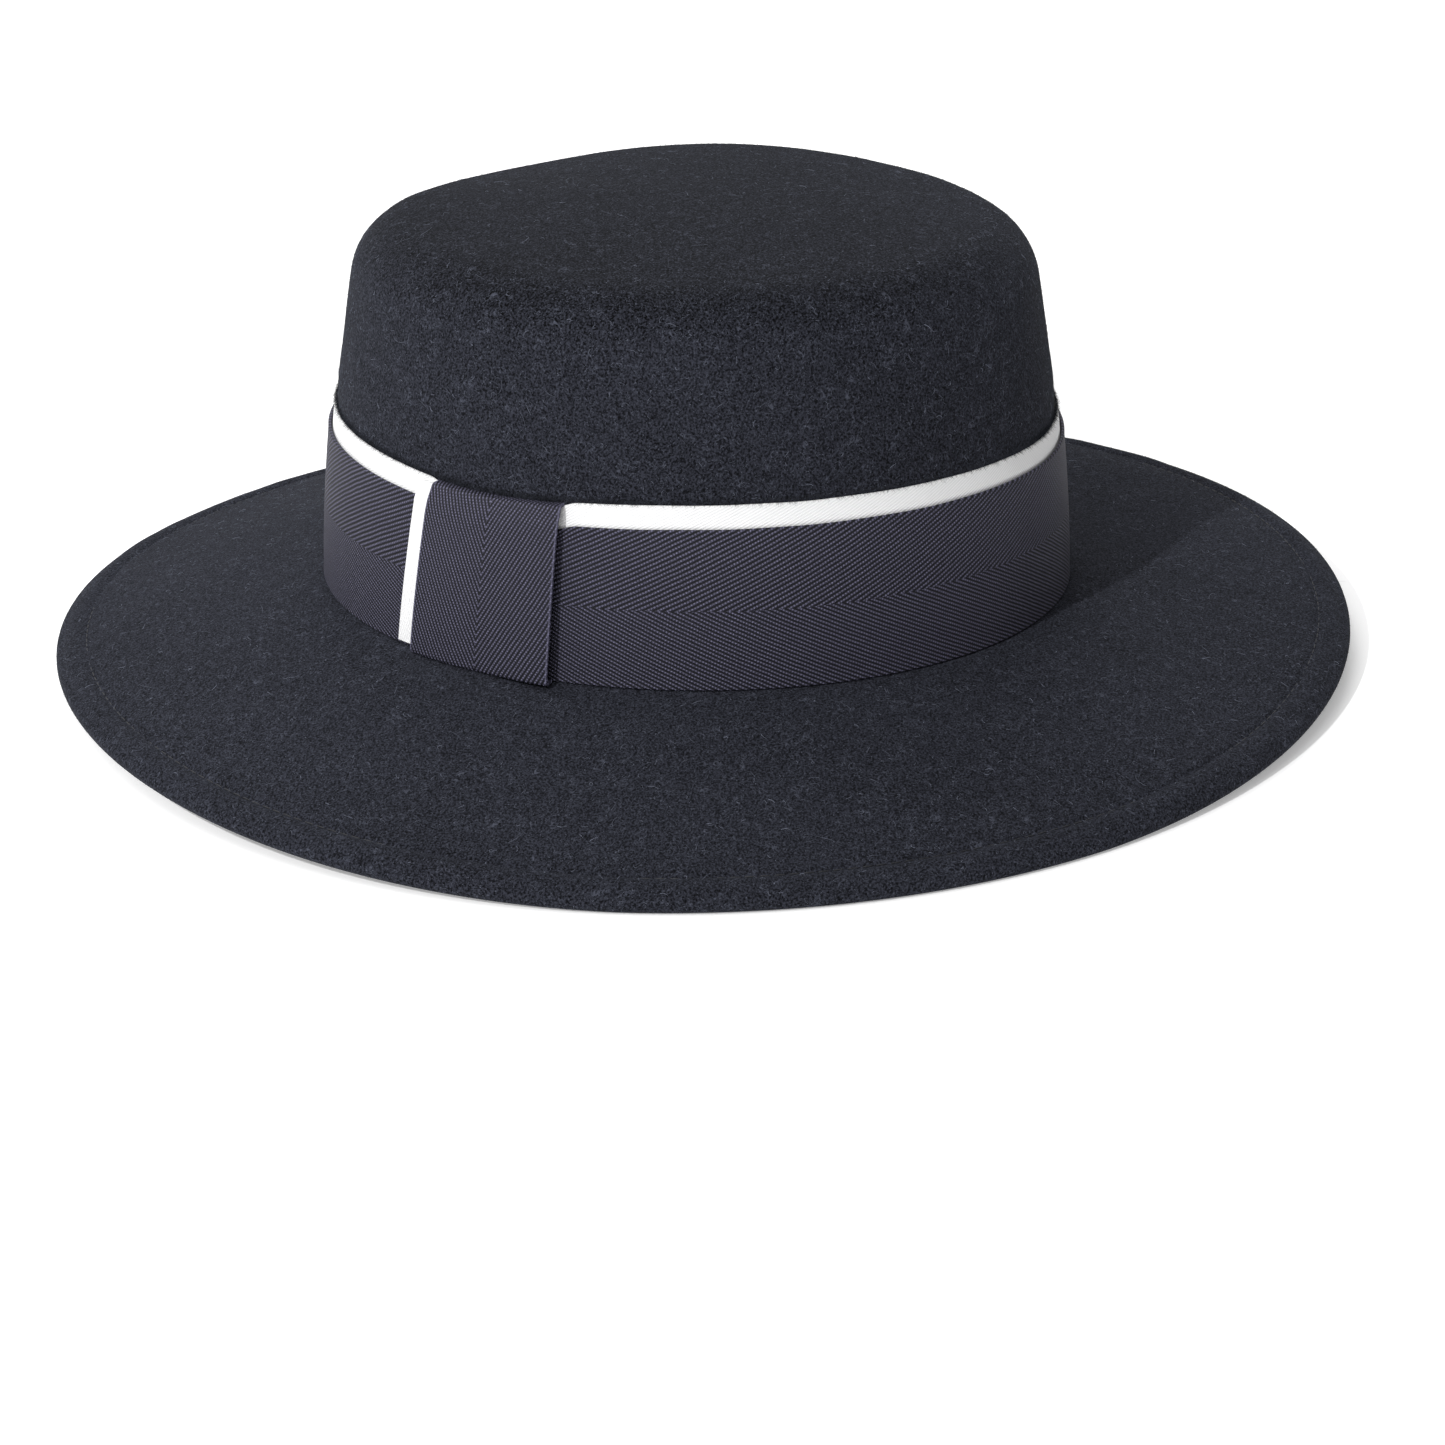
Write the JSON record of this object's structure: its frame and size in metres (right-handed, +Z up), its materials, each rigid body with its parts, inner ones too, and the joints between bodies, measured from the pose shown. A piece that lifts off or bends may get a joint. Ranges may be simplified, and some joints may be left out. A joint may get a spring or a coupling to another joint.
{
  "type": "gaucho hat",
  "caption": "Wide-brimmed felt hat with a flat-topped crown, a sloping brim with a turned-under edge, and a navy ribbon over a white one with a flat knot at the side.",
  "frame": {"origin": "middle of the brim's outline, on the surface that the hat rests on", "axes": "+Z up through the crown, -Y to the hat's front, +X to the wearer's left, where the knot is"},
  "size_m": [0.3288, 0.3456, 0.1227],
  "materials": {
    "felt": "matt black felt with a short nap",
    "white_ribbon": "woven white twill ribbon",
    "navy_ribbon": "woven navy herringbone ribbon"
  },
  "bodies": {
    "root": {"felt_body": "felt", "white_band": "white_ribbon", "navy_band": "navy_ribbon", "white_tab": "white_ribbon", "navy_tab": "navy_ribbon"}
  },
  "joints": []
}
